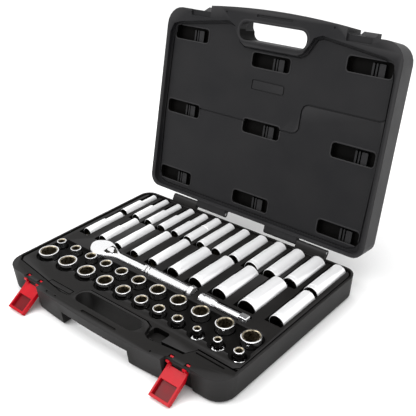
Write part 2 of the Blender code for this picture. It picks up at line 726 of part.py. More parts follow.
# ---- ratchet ----
def make_ratchet():
    head = circle(HEAD_RADIUS, 32)
    chamfer = circle(HEAD_RADIUS - 1.6 * MM, 32)
    body = stack("ratchet_body", [
        (chamfer, -HEAD_HALF), (head, -HEAD_HALF + 1.6 * MM), (head, HEAD_HALF - 2 * MM), (chamfer, HEAD_HALF),
    ], CHROME)
    shoulder = 1.5 * MM
    handle = lathe_along_x("handle", [
        (20 * MM, SHAFT_RADIUS), (COLLAR_START - shoulder, SHAFT_RADIUS),
        (COLLAR_START, GRIP_RADIUS + 0.4 * MM), (COLLAR_START + 4 * MM, GRIP_RADIUS + 0.4 * MM),
        (COLLAR_START + 5 * MM, GRIP_RADIUS), (GRIP_END, GRIP_RADIUS - 0.6 * MM),
        (GRIP_END + 3 * MM, KNOB_RADIUS), (RATCHET_END - 2 * MM, KNOB_RADIUS),
        (RATCHET_END, KNOB_RADIUS - 2.5 * MM),
    ], 20)
    added = [prism("neck", neck_outline(), -HEAD_HALF + 1 * MM, HEAD_HALF - 1.2 * MM), handle]
    combine(body, added, "UNION")
    stem = 2 * MM
    swing = slot(PAWL_PIVOT - 7 * MM, PAWL_PIVOT + 15 * MM, -9.5 * MM, 9.5 * MM, 6.9 * MM, 4)
    cuts = [
        prism("cavity", circle(CAVITY_RADIUS, 32), -HEAD_HALF - THROUGH, 3.6 * MM),
        prism("pawl_room", slot(9 * MM, 22 * MM, -6.3 * MM, 6.3 * MM, 2 * MM, 2), -4.2 * MM, 3.3 * MM),
        prism("lever_recess", swing, LEVER_RECESS, HEAD_HALF + THROUGH),
        prism("stem_hole", circle(stem, 12, PAWL_PIVOT), 0, HEAD_HALF + THROUGH),
    ]
    combine(body, cuts, "DIFFERENCE")
    move_all([body] + added + cuts, RATCHET_PLACE)


def make_ratchet_works():
    """What the head holds: the drive gear, pawl, lever, cover plate, retaining ring and ball."""
    gap = 0.3 * MM
    teeth = []
    for i in range(GEAR_TEETH * 2):
        radius = GEAR_RADIUS - (0.8 * MM if i % 2 else 0)
        angle = math.pi * i / GEAR_TEETH
        teeth.append((radius * math.cos(angle), radius * math.sin(angle)))
    sides = GEAR_TEETH * 2
    hub = 7 * MM
    hub_end = -HEAD_HALF - 0.4 * MM
    drive_end = hub_end - DRIVE_LENGTH
    gear_bottom = -3.5 * MM
    tip = 1 * MM
    gear = stack("ratchet_gear", [
        (square(DRIVE_SQUARE - 2 * tip, sides), drive_end), (square(DRIVE_SQUARE - gap, sides), drive_end + tip),
        (square(DRIVE_SQUARE - gap, sides), hub_end), (circle(hub, sides), hub_end),
        (circle(hub, sides), gear_bottom), (teeth, gear_bottom), (teeth, 3.2 * MM),
    ], STEEL)
    ball_z = drive_end + 4.2 * MM
    ball_x = DRIVE_SQUARE / 2 - gap / 2 + 0.6 * MM - BALL_RADIUS
    hole = lathe_along_x("ball_hole", [(ball_x - BALL_RADIUS - BALL_FIT, BALL_RADIUS + BALL_FIT),
                                       (THROUGH, BALL_RADIUS + BALL_FIT)], 12)
    hole.data.transform(Matrix.Translation((0, 0, ball_z)))
    combine(gear, [hole], "DIFFERENCE")
    move_all([gear, hole], RATCHET_PLACE)
    make_ball("ratchet_drive_ball", RATCHET_PLACE + Vector((ball_x, 0, ball_z)))

    plate_outer = circle(CAVITY_RADIUS - gap, 32)
    plate = stack("ratchet_cover_plate", [
        (circle(hub + gap, 32), -5.6 * MM), (plate_outer, -5.6 * MM), (plate_outer, -4.6 * MM),
        (circle(hub + gap, 32), -4.6 * MM),
    ], STEEL, closed=True)
    ring_inner = circle(CAVITY_RADIUS - 2 * MM, 32)
    ring = stack("ratchet_retaining_ring", [
        (ring_inner, -6.8 * MM), (plate_outer, -6.8 * MM), (plate_outer, -5.9 * MM), (ring_inner, -5.9 * MM),
    ], STEEL, closed=True)
    move_all([plate, ring], RATCHET_PLACE)

    nose = arc(-PAWL_PIVOT, 0, GEAR_RADIUS + 0.7 * MM, -17, 17, 6)
    outline = nose + [(1.5 * MM, 2.8 * MM), (3 * MM, 1 * MM), (3 * MM, -1 * MM), (1.5 * MM, -2.8 * MM)]
    outline.reverse()
    pawl = prism("ratchet_pawl", outline, -3.4 * MM, 2.4 * MM, STEEL)
    pivot = RATCHET_PLACE + Vector((PAWL_PIVOT, 0, 0))
    move_all([pawl], pivot, (0, 0, PAWL_REST))

    stem = prism("stem", circle(1.6 * MM, 12), 2.8 * MM, LEVER_RECESS + 1 * MM)
    tongue = [(0, -3.5 * MM), (9 * MM, -2.2 * MM), (11 * MM, 0), (9 * MM, 2.2 * MM), (0, 3.5 * MM)]
    thumb = prism("thumb", tongue, LEVER_RECESS + gap, HEAD_HALF + 0.2 * MM)
    lever = prism("ratchet_lever", circle(5 * MM, 20), LEVER_RECESS + gap, HEAD_HALF, STEEL)
    combine(lever, [stem, thumb], "UNION")
    move_all([lever, stem, thumb], pivot, (0, 0, LEVER_REST))


def make_ball(name, place):
    rings = 6
    sections = []
    for i in range(1, rings):
        angle = math.pi * i / rings
        sections.append((circle(BALL_RADIUS * math.sin(angle), 12), -BALL_RADIUS * math.cos(angle)))
    ball = stack(name, sections, STEEL)
    ball.location = place


# ---- extension ----
def make_extension():
    head = EXTENSION_HEAD_RADIUS
    bar = EXTENSION_BAR_RADIUS
    end = EXTENSION_LENGTH
    body = lathe_along_x("extension_bar", [
        (0, head - 0.8 * MM), (0.8 * MM, head), (EXTENSION_HEAD_LENGTH, head),
        (EXTENSION_HEAD_LENGTH + 6 * MM, bar), (end - 8 * MM, bar),
    ], 24, CHROME)
    half = EXTENSION_SQUARE / 2
    tip = 0.9 * MM
    loops = []
    for x, reach in ((end - 11.5 * MM, half), (end - tip, half), (end, half - tip)):
        loops.append([(x, -reach, -reach), (x, reach, -reach), (x, reach, reach), (x, -reach, reach)])
    male = object_from("male", lambda bm: skin(bm, loops), None)
    combine(body, [male], "UNION")
    half = DRIVE_SQUARE / 2
    female = profile_along_x("female", [(-half, -half), (half, -half), (half, half), (-half, half)],
                             -THROUGH, 12.5 * MM)
    detent = prism("detent", circle(1.6 * MM, 12, 16 * MM), 0, THROUGH)
    detent.data.transform(Matrix.Translation((-9 * MM, 0, 0)))
    ball_x = end - 5 * MM
    ball_y = -(EXTENSION_SQUARE / 2 + 0.6 * MM - BALL_RADIUS)
    hole = profile_along_y("ball_hole", circle(BALL_RADIUS + BALL_FIT, 12, ball_x, 0), -THROUGH,
                           ball_y + BALL_RADIUS + BALL_FIT)
    combine(body, [female, detent, hole], "DIFFERENCE")
    move_all([body, male, female, detent, hole], EXTENSION_PLACE)
    make_ball("extension_ball", EXTENSION_PLACE + Vector((ball_x, ball_y, 0)))


make_base()
make_lid()
make_hinge_pins()
make_latch("latch_left", -1)
make_latch("latch_right", 1)
make_sockets()
make_ratchet()
make_ratchet_works()
make_extension()
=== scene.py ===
# %% [markdown]
# A socket wrench set in its blow-moulded case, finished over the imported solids. The solids
# already hold every position, so this file only remakes surfaces: moulded plastic with soft
# edges, plated sockets with their twelve-point mouths, and a forged ratchet. It was built this
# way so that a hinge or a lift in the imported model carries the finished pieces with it.

# %% Load the frame
import math

import bmesh
import bpy
from mathutils import Matrix, Vector


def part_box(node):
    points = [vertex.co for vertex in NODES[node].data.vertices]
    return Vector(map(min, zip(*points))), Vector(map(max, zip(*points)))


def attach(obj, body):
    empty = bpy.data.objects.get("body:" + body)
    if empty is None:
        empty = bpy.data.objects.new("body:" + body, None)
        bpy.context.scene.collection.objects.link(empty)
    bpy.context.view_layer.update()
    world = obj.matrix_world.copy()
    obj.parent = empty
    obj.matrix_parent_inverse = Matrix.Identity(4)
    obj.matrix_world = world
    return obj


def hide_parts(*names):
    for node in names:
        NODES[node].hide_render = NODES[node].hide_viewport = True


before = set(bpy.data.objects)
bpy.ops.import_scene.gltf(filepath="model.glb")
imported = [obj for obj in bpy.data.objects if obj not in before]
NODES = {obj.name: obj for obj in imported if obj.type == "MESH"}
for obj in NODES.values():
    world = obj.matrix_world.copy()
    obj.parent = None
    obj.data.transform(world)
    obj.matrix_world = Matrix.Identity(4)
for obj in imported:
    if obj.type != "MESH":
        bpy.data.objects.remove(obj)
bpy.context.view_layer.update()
MM = 0.001

# %% [markdown]
# A material here starts from one Principled shader. Most of the realism comes from small
# changes in roughness and from a bump that is finer than the eye resolves, so the helpers
# below chain noise into both. Object coordinates keep the pattern still on a moving piece.


# %% Material helpers
def principled(name, **inputs):
    material = bpy.data.materials.new(name)
    material.use_nodes = True
    shader = material.node_tree.nodes["Principled BSDF"]
    for key, value in inputs.items():
        shader.inputs[key.replace("_", " ")].default_value = value
    return material, material.node_tree, shader


def noise(tree, scale, detail=2.0, stretch=None):
    """A noise texture's factor, read at the piece's own coordinates."""
    place = tree.nodes.new("ShaderNodeTexCoord")
    mapping = tree.nodes.new("ShaderNodeMapping")
    texture = tree.nodes.new("ShaderNodeTexNoise")
    texture.inputs["Scale"].default_value = scale
    texture.inputs["Detail"].default_value = detail
    if stretch:
        mapping.inputs["Scale"].default_value = stretch
    tree.links.new(place.outputs["Object"], mapping.inputs["Vector"])
    tree.links.new(mapping.outputs["Vector"], texture.inputs["Vector"])
    return texture.outputs["Fac"]


def spread(tree, factor, low, high, start=0.3, end=0.7):
    """Maps a noise factor onto the range from low to high."""
    node = tree.nodes.new("ShaderNodeMapRange")
    node.inputs["From Min"].default_value = start
    node.inputs["From Max"].default_value = end
    node.inputs["To Min"].default_value = low
    node.inputs["To Max"].default_value = high
    tree.links.new(factor, node.inputs["Value"])
    return node.outputs["Result"]


def blend_colours(tree, factor, first, second):
    """A colour between the two. Either may be a colour or another node's output."""
    node = tree.nodes.new("ShaderNodeMix")
    node.data_type = "RGBA"
    tree.links.new(factor, node.inputs[0])
    for side, value in ((6, first), (7, second)):
        if isinstance(value, tuple):
            node.inputs[side].default_value = (*value, 1)
        else:
            tree.links.new(value, node.inputs[side])
    return node.outputs[2]


def bump(tree, shader, height, distance, strength=1.0, edge_radius=0.0):
    """Fine relief, on top of edges that are rounded by edge_radius in the shading."""
    node = tree.nodes.new("ShaderNodeBump")
    node.inputs["Distance"].default_value = distance
    node.inputs["Strength"].default_value = strength
    tree.links.new(height, node.inputs["Height"])
    if edge_radius:
        rounding = tree.nodes.new("ShaderNodeBevel")
        rounding.samples = 6
        rounding.inputs["Radius"].default_value = edge_radius
        tree.links.new(rounding.outputs["Normal"], node.inputs["Normal"])
    tree.links.new(node.outputs["Normal"], shader.inputs["Normal"])


# %% [markdown]
# Blow-moulded polyethylene is a soft black with a sandy grain from the mould. Its raised edges
# are painted a little lighter where the Pointiness of the surface finds them, a painted highlight
# along the edges. The grain is about half a millimetre, and a slower noise makes the gloss drift
# from place to place.


# %% Case plastic
def case_plastic(name, dark, light, shine, edge_highlight_colour=(0.05, 0.049, 0.05)):
    material, tree, shader = principled(name, Roughness=0.5)
    shader.inputs["Specular IOR Level"].default_value = shine
    cloud = noise(tree, 18, 3)
    grain = noise(tree, 1900, 2)
    shade = blend_colours(tree, spread(tree, cloud, 0, 1), dark, light)
    # Pointiness finds the raised edges, which get a lighter colour: a painted highlight along them.
    edge = tree.nodes.new("ShaderNodeNewGeometry")
    edge_highlight_mix = spread(tree, edge.outputs["Pointiness"], 0, 0.5, 0.52, 0.62)
    tree.links.new(blend_colours(tree, edge_highlight_mix, shade, edge_highlight_colour), shader.inputs["Base Color"])
    tree.links.new(spread(tree, cloud, 0.44, 0.56), shader.inputs["Roughness"])
    bump(tree, shader, grain, 0.06 * MM, 0.6, 0.9 * MM)
    return material


CASE_BLACK = case_plastic("case_black", (0.0060, 0.0056, 0.0054), (0.0095, 0.0088, 0.0084), 0.10)
# The lid's copy of the plastic is lighter, bluer and shinier than the base's: painted light on the
# standing lid.
LIT_LID_BLACK = case_plastic("lid_black_lit", (0.0085, 0.0085, 0.0095), (0.0125, 0.0122, 0.0130), 0.14)
# A much darker copy of the case plastic, painted as shade on faces deep in hollows.
PAINTED_SHADE_BLACK = case_plastic(
    "painted_shade_black", (0.0015, 0.0014, 0.0013), (0.0030, 0.0027, 0.0025), 0.04, (0.006, 0.006, 0.006)
)
print("case plastics made")

# %% [markdown]
# The latches are a glossier injection-moulded plastic. The red is deep and even, so it gets
# only a faint cloud and a very fine orange-peel bump.


# %% Latch plastic
def latch_plastic(name, dark, light):
    material, tree, shader = principled(name, Roughness=0.35)
    shader.inputs["Specular IOR Level"].default_value = 0.15
    cloud = noise(tree, 60, 2)
    shade = blend_colours(tree, spread(tree, cloud, 0, 1), dark, light)
    tree.links.new(shade, shader.inputs["Base Color"])
    tree.links.new(spread(tree, cloud, 0.28, 0.36), shader.inputs["Roughness"])
    bump(tree, shader, noise(tree, 900, 2), 0.02 * MM, 0.5, 0.4 * MM)
    return material


LATCH_RED = latch_plastic("latch_red", (0.36, 0.0015, 0.007), (0.43, 0.002, 0.010))
# A darker copy of the latch red, painted as shade on the floor of the sunken face.
LATCH_PAINTED_SHADE = latch_plastic("latch_red_painted_shade", (0.11, 0.0006, 0.003), (0.15, 0.0008, 0.004))
print("latch plastics made")


# %% [markdown]
# Chrome plate is almost a mirror. Handling leaves hairlines in it, so its roughness follows a
# noise that is stretched along one axis. The broached mouths are bare and duller, and hold a
# film of oil that turns them a warm brown.


# %% Metals
def plated(name, colour, low, high, stretch, edge_radius, metallic=1.0):
    material, tree, shader = principled(name, Metallic=metallic)
    shader.inputs["Base Color"].default_value = (*colour, 1)
    hairlines = noise(tree, 700, 3, stretch)
    tree.links.new(spread(tree, hairlines, low, high), shader.inputs["Roughness"])
    bump(tree, shader, hairlines, 0.0005 * MM, 0.3, edge_radius)
    return material


def broached_steel(name, dark, light):
    material, tree, shader = principled(name, Metallic=1.0, Roughness=0.35)
    film = noise(tree, 420, 3)
    shade = blend_colours(tree, spread(tree, film, 0, 1), dark, light)
    tree.links.new(shade, shader.inputs["Base Color"])
    tree.links.new(spread(tree, film, 0.25, 0.45), shader.inputs["Roughness"])
    bump(tree, shader, noise(tree, 1500, 2, (1, 1, 0.15)), 0.02 * MM, 0.6)
    return material


CHROME = plated("chrome", (0.97, 0.97, 0.98), 0.07, 0.13, (1, 1, 0.08), 0.0, 1.0)
# The lying sockets' plating is only half metallic, so its near-white colour shows as diffuse white: a
# painted reflection of the bright studio.
CHROME_LYING_PAINTED_REFLECTION = plated("chrome_lying_painted_reflection", (0.97, 0.97, 0.98), 0.14, 0.26, (1, 0.08, 1), 0.0, 0.45)
CHROME_ALONG = plated("chrome_along", (0.90, 0.90, 0.91), 0.10, 0.18, (0.08, 1, 1), 0.0, 0.9)
STEEL = plated("bare_steel", (0.56, 0.56, 0.57), 0.22, 0.38, (1, 0.2, 1), 0.15 * MM)
PIN_STEEL = plated("pin_steel", (0.46, 0.46, 0.47), 0.25, 0.4, (0.05, 1, 1), 0.1 * MM)
BROACHED = broached_steel("broached_steel", (0.16, 0.13, 0.085), (0.46, 0.41, 0.31))
# A near-black copy of the broached steel, painted as shade at the bottoms of bores and in grooves.
BORE_SHADE = broached_steel("bore_shade", (0.012, 0.010, 0.007), (0.04, 0.034, 0.026))
print("metals made")

# %% [markdown]
# The helpers below turn outlines into closed meshes, cut them, and hand a finished piece to the
# frame. A finished piece keeps its object at the origin and holds its place in its mesh, so its
# patterns don't slide when it moves.


# %% Mesh helpers
def mesh_object(name, fill):
    mesh = bpy.data.meshes.new(name)
    bm = bmesh.new()
    fill(bm)
    bmesh.ops.recalc_face_normals(bm, faces=bm.faces)
    bm.to_mesh(mesh)
    bm.free()
    obj = bpy.data.objects.new(name, mesh)
    bpy.context.scene.collection.objects.link(obj)
    return obj


def skin(bm, loops, closed=False):
    """Joins loops of equal counts. The ends are capped unless the stack closes on itself."""
    rings = [[bm.verts.new(point) for point in loop] for loop in loops]
    pairs = list(zip(rings, rings[1:]))
    if closed:
        pairs.append((rings[-1], rings[0]))
    for lower, upper in pairs:
        for i in range(len(lower)):
            j = (i + 1) % len(lower)
            bm.faces.new((lower[i], lower[j], upper[j], upper[i]))
    if not closed:
        bm.faces.new(rings[0])
        bm.faces.new(rings[-1])


def arc(x, y, radius, start, end, steps):
    points = []
    for i in range(steps + 1):
        angle = math.radians(start + (end - start) * i / steps)
        points.append((x + radius * math.cos(angle), y + radius * math.sin(angle)))
    return points


def disc(x, y, radius, steps):
    """A whole circle, without its first point again at the end."""
    return arc(x, y, radius, 0, 360, steps)[:-1]


def in_mm(points):
    """Points written in millimetres, in the scene's metres."""
    return [(x * MM, y * MM) for x, y in points]


def slot(x0, x1, y0, y1, radius, steps=6):
    """A rectangle with round corners, anticlockwise."""
    points = arc(x1 - radius, y1 - radius, radius, 0, 90, steps)
    points += arc(x0 + radius, y1 - radius, radius, 90, 180, steps)
    points += arc(x0 + radius, y0 + radius, radius, 180, 270, steps)
    points += arc(x1 - radius, y0 + radius, radius, 270, 360, steps)
    return points


def band(line, width):
    """The outline of a band of that width along an open line."""
    sides = ([], [])
    for i, here in enumerate(line):
        before = Vector(line[max(i - 1, 0)])
        after = Vector(line[min(i + 1, len(line) - 1)])
        along = (after - before).normalized()
        across = Vector((-along.y, along.x)) * width / 2
        sides[0].append(tuple(Vector(here) + across))
        sides[1].append(tuple(Vector(here) - across))
    return sides[1] + sides[0][::-1]


def prism(outline, low, high, to_world=Matrix.Identity(4)):
    """The outline between two heights, in the coordinates that to_world leads out of."""
    loops = [[to_world @ Vector((x, y, z)) for x, y in outline] for z in (low, high)]
    return mesh_object("helper", lambda bm: skin(bm, loops))


def tube(outer, inner, low, high, to_world=Matrix.Identity(4)):
    """A frame between two outlines of equal counts."""
    sections = ((outer, low), (outer, high), (inner, high), (inner, low))
    loops = [[to_world @ Vector((x, y, z)) for x, y in outline] for outline, z in sections]
    return mesh_object("helper", lambda bm: skin(bm, loops, closed=True))


def ring(line, width, low, high, to_world=Matrix.Identity(4)):
    """A closed band of that width that follows a closed line."""
    sides = ([], [])
    count = len(line)
    for i, here in enumerate(line):
        along = (Vector(line[(i + 1) % count]) - Vector(line[i - 1])).normalized()
        across = Vector((-along.y, along.x)) * width / 2
        sides[0].append(tuple(Vector(here) + across))
        sides[1].append(tuple(Vector(here) - across))
    return tube(sides[1], sides[0], low, high, to_world)


def settle(obj):
    """Applies every modifier."""
    graph = bpy.context.evaluated_depsgraph_get()
    mesh = bpy.data.meshes.new_from_object(obj.evaluated_get(graph), depsgraph=graph)
    obj.modifiers.clear()
    obj.data = mesh


def combine(obj, tools, operation):
    """Cuts or joins all the tools in one exact Boolean, then removes them."""
    group = bpy.data.collections.new("tools")
    bpy.context.scene.collection.children.link(group)
    for tool in tools:
        bpy.context.scene.collection.objects.unlink(tool)
        group.objects.link(tool)
    modifier = obj.modifiers.new("join", "BOOLEAN")
    modifier.operation = operation
    modifier.operand_type = "COLLECTION"
    modifier.collection = group
    modifier.solver = "EXACT"
    settle(obj)
    for tool in tools:
        bpy.data.objects.remove(tool, do_unlink=True)
    bpy.data.collections.remove(group)


def round_edges(obj, width, segments, angle):
    modifier = obj.modifiers.new("edges", "BEVEL")
    modifier.width = width
    modifier.segments = segments
    modifier.limit_method = "ANGLE"
    modifier.angle_limit = math.radians(angle)
    settle(obj)


def merged_copy(node, name):
    """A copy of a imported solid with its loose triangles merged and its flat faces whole."""
    bm = bmesh.new()
    bm.from_mesh(NODES[node].data)
    bmesh.ops.remove_doubles(bm, verts=bm.verts, dist=0.002 * MM)
    bmesh.ops.dissolve_limit(bm, angle_limit=math.radians(0.5), verts=bm.verts, edges=bm.edges)
    mesh = bpy.data.meshes.new(name)
    bm.to_mesh(mesh)
    bm.free()
    obj = bpy.data.objects.new(name, mesh)
    bpy.context.scene.collection.objects.link(obj)
    return obj


def paint_shade_in_hollows(obj, is_hollow):
    """Gives the second material, a painted shade, to every face whose middle lies in a hollow."""
    count = 0
    for face in obj.data.polygons:
        if is_hollow(face.center, face.normal):
            face.material_index = 1
            count += 1
    print(obj.name, count, "faces in hollows")


def shade_sides_flat(mesh, least_area=20e-4):
    """Shades the large flat sides flat, so that long thin triangles in them streak less."""
    sides = {}
    for face in mesh.polygons:
        way = tuple(round(part, 2) for part in face.normal)
        sides.setdefault(way, []).append(face)
    for faces in sides.values():
        if sum(face.area for face in faces) > least_area:
            for face in faces:
                face.use_smooth = False


def finish(obj, name, body, nodes, materials=None, sharp=32):
    """Names a piece, shades it, gives it to a body and hides the solids it stands for."""
    obj.name = name
    if materials:
        obj.data.materials.clear()
        for material in materials:
            obj.data.materials.append(material)
    obj.data.shade_smooth()
    obj.data.set_sharp_from_angle(angle=math.radians(sharp))
    shade_sides_flat(obj.data)
    weigh = obj.modifiers.new("weigh", "WEIGHTED_NORMAL")
    weigh.keep_sharp = True
    weigh.weight = 60
    settle(obj)
    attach(obj, body)
    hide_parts(*nodes)
    print(name, len(obj.data.polygons), "faces")


# %% [markdown]
# The lower half of the case is a blow-moulded tray with a pocket for every tool. It could be
# modelled again from outlines, but its solid already holds every pocket in its right place, so
# it is copied. What is too fine for the solid is cut here: the slot and the two channels
# beside the handle, a framed field to the left of it, and the dimples in the front rim. The
# edges on the ground are rounded, as blow moulding can't form a sharp one. The faces deep in
# the pockets, the field and the slots get a much darker black as painted shade.

# %% Base
RIM = max(v.co.z for v in NODES["case_base"].data.vertices if abs(v.co.y) < 100 * MM)
OVER_RIM = RIM + 10 * MM
FOOT_ROUNDING = 4.5 * MM
POCKET_SHADE_TOP = 33.2 * MM
FIELD_SHADE_TOP = 31.3 * MM


def in_base_pocket(centre, normal):
    """Whether a face lies in the moulded field, in a pocket or in a slot beside them."""
    beside = 85 * MM < centre.x < 193 * MM and -130 * MM < centre.y < -105 * MM
    if beside and centre.z < RIM - 2.2 * MM:
        return centre.z > RIM - 6 * MM
    if abs(centre.x) > 187 * MM or not -112 * MM < centre.y < 136 * MM:
        return False
    in_field = -93 * MM < centre.y < -42 * MM
    return 2 * MM < centre.z < (FIELD_SHADE_TOP if in_field else POCKET_SHADE_TOP)


def round_foot(obj, width):
    """Rounds the edges where the walls meet the ground face, which the moulding leaves blunt."""
    mesh = obj.data
    bm = bmesh.new()
    bm.from_mesh(mesh)
    weights = bm.edges.layers.float.new("bevel_weight_edge")
    lowest = [edge for edge in bm.edges if max(v.co.z for v in edge.verts) < 0.05 * MM]
    lowest = [edge for edge in lowest if len(edge.link_faces) == 2]
    lowest = [edge for edge in lowest if edge.calc_face_angle(0) > math.radians(50)]
    for edge in lowest:
        edge[weights] = 1.0
    bm.to_mesh(mesh)
    bm.free()
    modifier = obj.modifiers.new("foot", "BEVEL")
    modifier.limit_method = "WEIGHT"
    modifier.width = width
    modifier.segments = 5
    modifier.use_clamp_overlap = False
    settle(obj)
    print("rounded", len(lowest), "edges on the ground face")


def rim_slot(start, end, width, depth):
    """A straight slot cut down into the rim, between two points in millimetres."""
    return prism(band(in_mm([start, end]), width), RIM - depth, OVER_RIM)


def make_base():
    base = merged_copy("case_base", "base")
    round_foot(base, FOOT_ROUNDING)
    plate = slot(-112 * MM, -66 * MM, -131 * MM, -122 * MM, 2 * MM)
    plate_in = slot(-110.6 * MM, -67.4 * MM, -129.6 * MM, -123.4 * MM, 1 * MM)
    cuts = [
        rim_slot((88, -126.5), (127, -123.5), 4.6 * MM, 5 * MM),
        rim_slot((133, -108.6), (191, -109.6), 3.4 * MM, 4 * MM),
        rim_slot((136, -114.6), (178, -115.2), 2.2 * MM, 3 * MM),
        tube(plate, plate_in, RIM - 2.6 * MM, OVER_RIM),
    ]
    for x in (-94, -77, 94):
        cuts.append(prism(disc(x * MM, -145 * MM, 1.3 * MM, 16), RIM - 1.2 * MM, OVER_RIM))
    combine(base, cuts, "DIFFERENCE")
    finish(base, "case_base_shell", "case", ["case_base"], [CASE_BLACK, PAINTED_SHADE_BLACK])
    # The pockets, the field and the slots beside the handle get the painted shade.
    paint_shade_in_hollows(base, in_base_pocket)


make_base()

# %% [markdown]
# The lid stands open, so its details are drawn in its own coordinates: across, up from the
# hinge edge, and back from the rim. One matrix leads from there to the open lid. The windows
# get raised borders and an inner stop, the panel its step line, and the name plate stays blank.
# Faces sunk behind the panel, in the windows and grooves, get the darker black as painted shade.

# %% Lid
LID_TILT = math.radians(13.9)
LID_ORIGIN = Vector((0, 145.85, 48.1)) * MM
UP = Vector((0, math.sin(LID_TILT), math.cos(LID_TILT)))
BACK = Vector((0, math.cos(LID_TILT), -math.sin(LID_TILT)))
LID = Matrix.Translation(LID_ORIGIN) @ Matrix((Vector((1, 0, 0)), UP, BACK)).transposed().to_4x4()
PANEL = 7 * MM
WINDOW_ROWS = (14.4, 122.1, 235.0)
WINDOW_DROP = 18.8
WINDOW_HALF_WIDTH = 32.2 * MM
WINDOW_HEIGHT = 20 * MM
WINDOW_BORDER = 1.6 * MM
WINDOW_RIBS = ((1, 4, 4.5), (6, 8.5, 5.0), (11, 20, 3.6))


def window_spots():
    """Each window's middle and lower edge. The one below the handle hangs lower than its row."""
    for x in (-149, 0, 149):
        for row in WINDOW_ROWS:
            low = row - (WINDOW_DROP if (x == 0 and row == WINDOW_ROWS[-1]) else 0)
            yield x * MM, low * MM


def panel_line():
    """The line just inside the panel's edge, from the hinge side round the handle and back."""
    right = [(0, 8), (168, 8), (178, 12), (183, 22), (185.5, 120), (184, 236), (180, 252)]
    right += [(168, 257.5), (78, 269.5), (70, 267), (64.5, 259), (57, 246), (48, 240.5), (0, 240.5)]
    left = [(-x, s) for x, s in reversed(right[1:-1])]
    return in_mm(right + left)


def make_lid():
    lid = merged_copy("case_lid", "lid")
    added = []
    for x, low in window_spots():
        left, right, high = x - WINDOW_HALF_WIDTH, x + WINDOW_HALF_WIDTH, low + WINDOW_HEIGHT
        edge = WINDOW_BORDER
        outer = slot(left - edge, right + edge, low - edge, high + edge, 6.0 * MM)
        inner = slot(left, right, low, high, 4.6 * MM)
        added.append(tube(outer, inner, PANEL - 0.4 * MM, PANEL + 1 * MM, LID))
        for start, end, depth in WINDOW_RIBS:
            rib = slot(x + start * MM, x + end * MM, low - 0.5 * MM, low + 16 * MM, 1.2 * MM)
            added.append(prism(rib, PANEL + depth * MM, PANEL + 10 * MM, LID))
    hole = slot(-60 * MM, 60 * MM, 248.5 * MM, 279 * MM, 14 * MM)
    hole_in = slot(-58 * MM, 58 * MM, 250.5 * MM, 277 * MM, 12 * MM)
    added.append(tube(hole, hole_in, -0.1 * MM, 6 * MM, LID))
    combine(lid, added, "UNION")
    step = in_mm(
        [(-116, 138), (52, 138), (58, 140.5), (62, 146), (62, 172), (65, 178), (71, 181),
         (178, 181.5), (184, 184)]
    )
    cuts = [prism(band(step, 2.2 * MM), 0, PANEL + 1.5 * MM, LID)]
    cuts.append(ring(panel_line(), 2.0 * MM, 0, PANEL + 1.5 * MM, LID))
    plate = slot(-27 * MM, 29 * MM, 184.5 * MM, 199 * MM, 3 * MM)
    plate_in = slot(-25.4 * MM, 27.4 * MM, 186.1 * MM, 197.4 * MM, 1.8 * MM)
    cuts.append(tube(plate, plate_in, 0, PANEL + 1.0 * MM, LID))
    for x, s in ((-149, 276), (-83, 284.5), (94, 285.6)):
        cuts.append(prism(disc(x * MM, s * MM, 1.4 * MM, 16), -5 * MM, 1.2 * MM, LID))
    rib = slot(-30 * MM, 30 * MM, 283.6 * MM, 287.2 * MM, 1.7 * MM)
    cuts.append(prism(rib, -5 * MM, 1.6 * MM, LID))
    combine(lid, cuts, "DIFFERENCE")
    finish(lid, "case_lid_shell", "lid", ["case_lid"], [LIT_LID_BLACK, PAINTED_SHADE_BLACK])
    to_lid = LID.inverted()

    # Faces sunk behind the panel, except the fronts of the ridges, get the painted shade.
    def is_hollow(centre, normal):
        x, s, h = to_lid @ centre
        ridge = h < PANEL + 5.2 * MM and normal.dot(-BACK) > 0.9
        on_panel = abs(x) < 187 * MM and 6 * MM < s < 272 * MM
        return on_panel and PANEL + 0.3 * MM < h < PANEL + 11 * MM and not ridge

    paint_shade_in_hollows(lid, is_hollow)


make_lid()

# %% [markdown]
# Each latch is one red moulding that snaps over a bar on the base and folds up over the lid's
# catch. Its solid has the right shape already, so it is copied and every edge is rounded a
# little, as an injection mould leaves it. The floor of its sunken face gets a darker red as
# painted shade. The hinge pins are hidden in their knuckles, so their solids stay and only get a steel.

# %% Latches and hinge pins
HANG = math.radians(57)
LATCH_PIVOT = Vector((0, -138.4, 32.2)) * MM


def in_latch_pocket(centre, normal):
    """Whether a face is the sunken floor of the latch, seen from its pivot down its length."""
    way = centre - LATCH_PIVOT
    down = -way.y * math.sin(HANG) - way.z * math.cos(HANG)
    inward = -way.y * math.cos(HANG) + way.z * math.sin(HANG)
    faces_in = -normal.y * math.cos(HANG) + normal.z * math.sin(HANG)
    return faces_in > 0.9 and inward < -7 * MM and 21 * MM < down < 43 * MM


for side in ("left", "right"):
    latch = merged_copy(f"latch_{side}", "latch")
    round_edges(latch, 0.45 * MM, 2, 25)
    body = f"latch_{side}"
    finish(latch, f"latch_{side}_moulding", body, [body], [LATCH_RED, LATCH_PAINTED_SHADE])
    paint_shade_in_hollows(latch, in_latch_pocket)
    NODES[f"hinge_pin_{side}"].data.materials.clear()
    NODES[f"hinge_pin_{side}"].data.materials.append(PIN_STEEL)

# %% [markdown]
# Every socket is turned from a profile and then broached. A Geometry Nodes tree does the
# broaching, since it is the same operation at every size: a twelve-pointed star is filled,
# pulled into a prism and taken out of the nose, and a square is taken out of the drive end.


# %% Broaching tree
def add_input(tree, name, kind, value=None):
    item = tree.interface.new_socket(name, in_out="INPUT", socket_type=kind)
    if value is not None:
        item.default_value = value
    return item.identifier


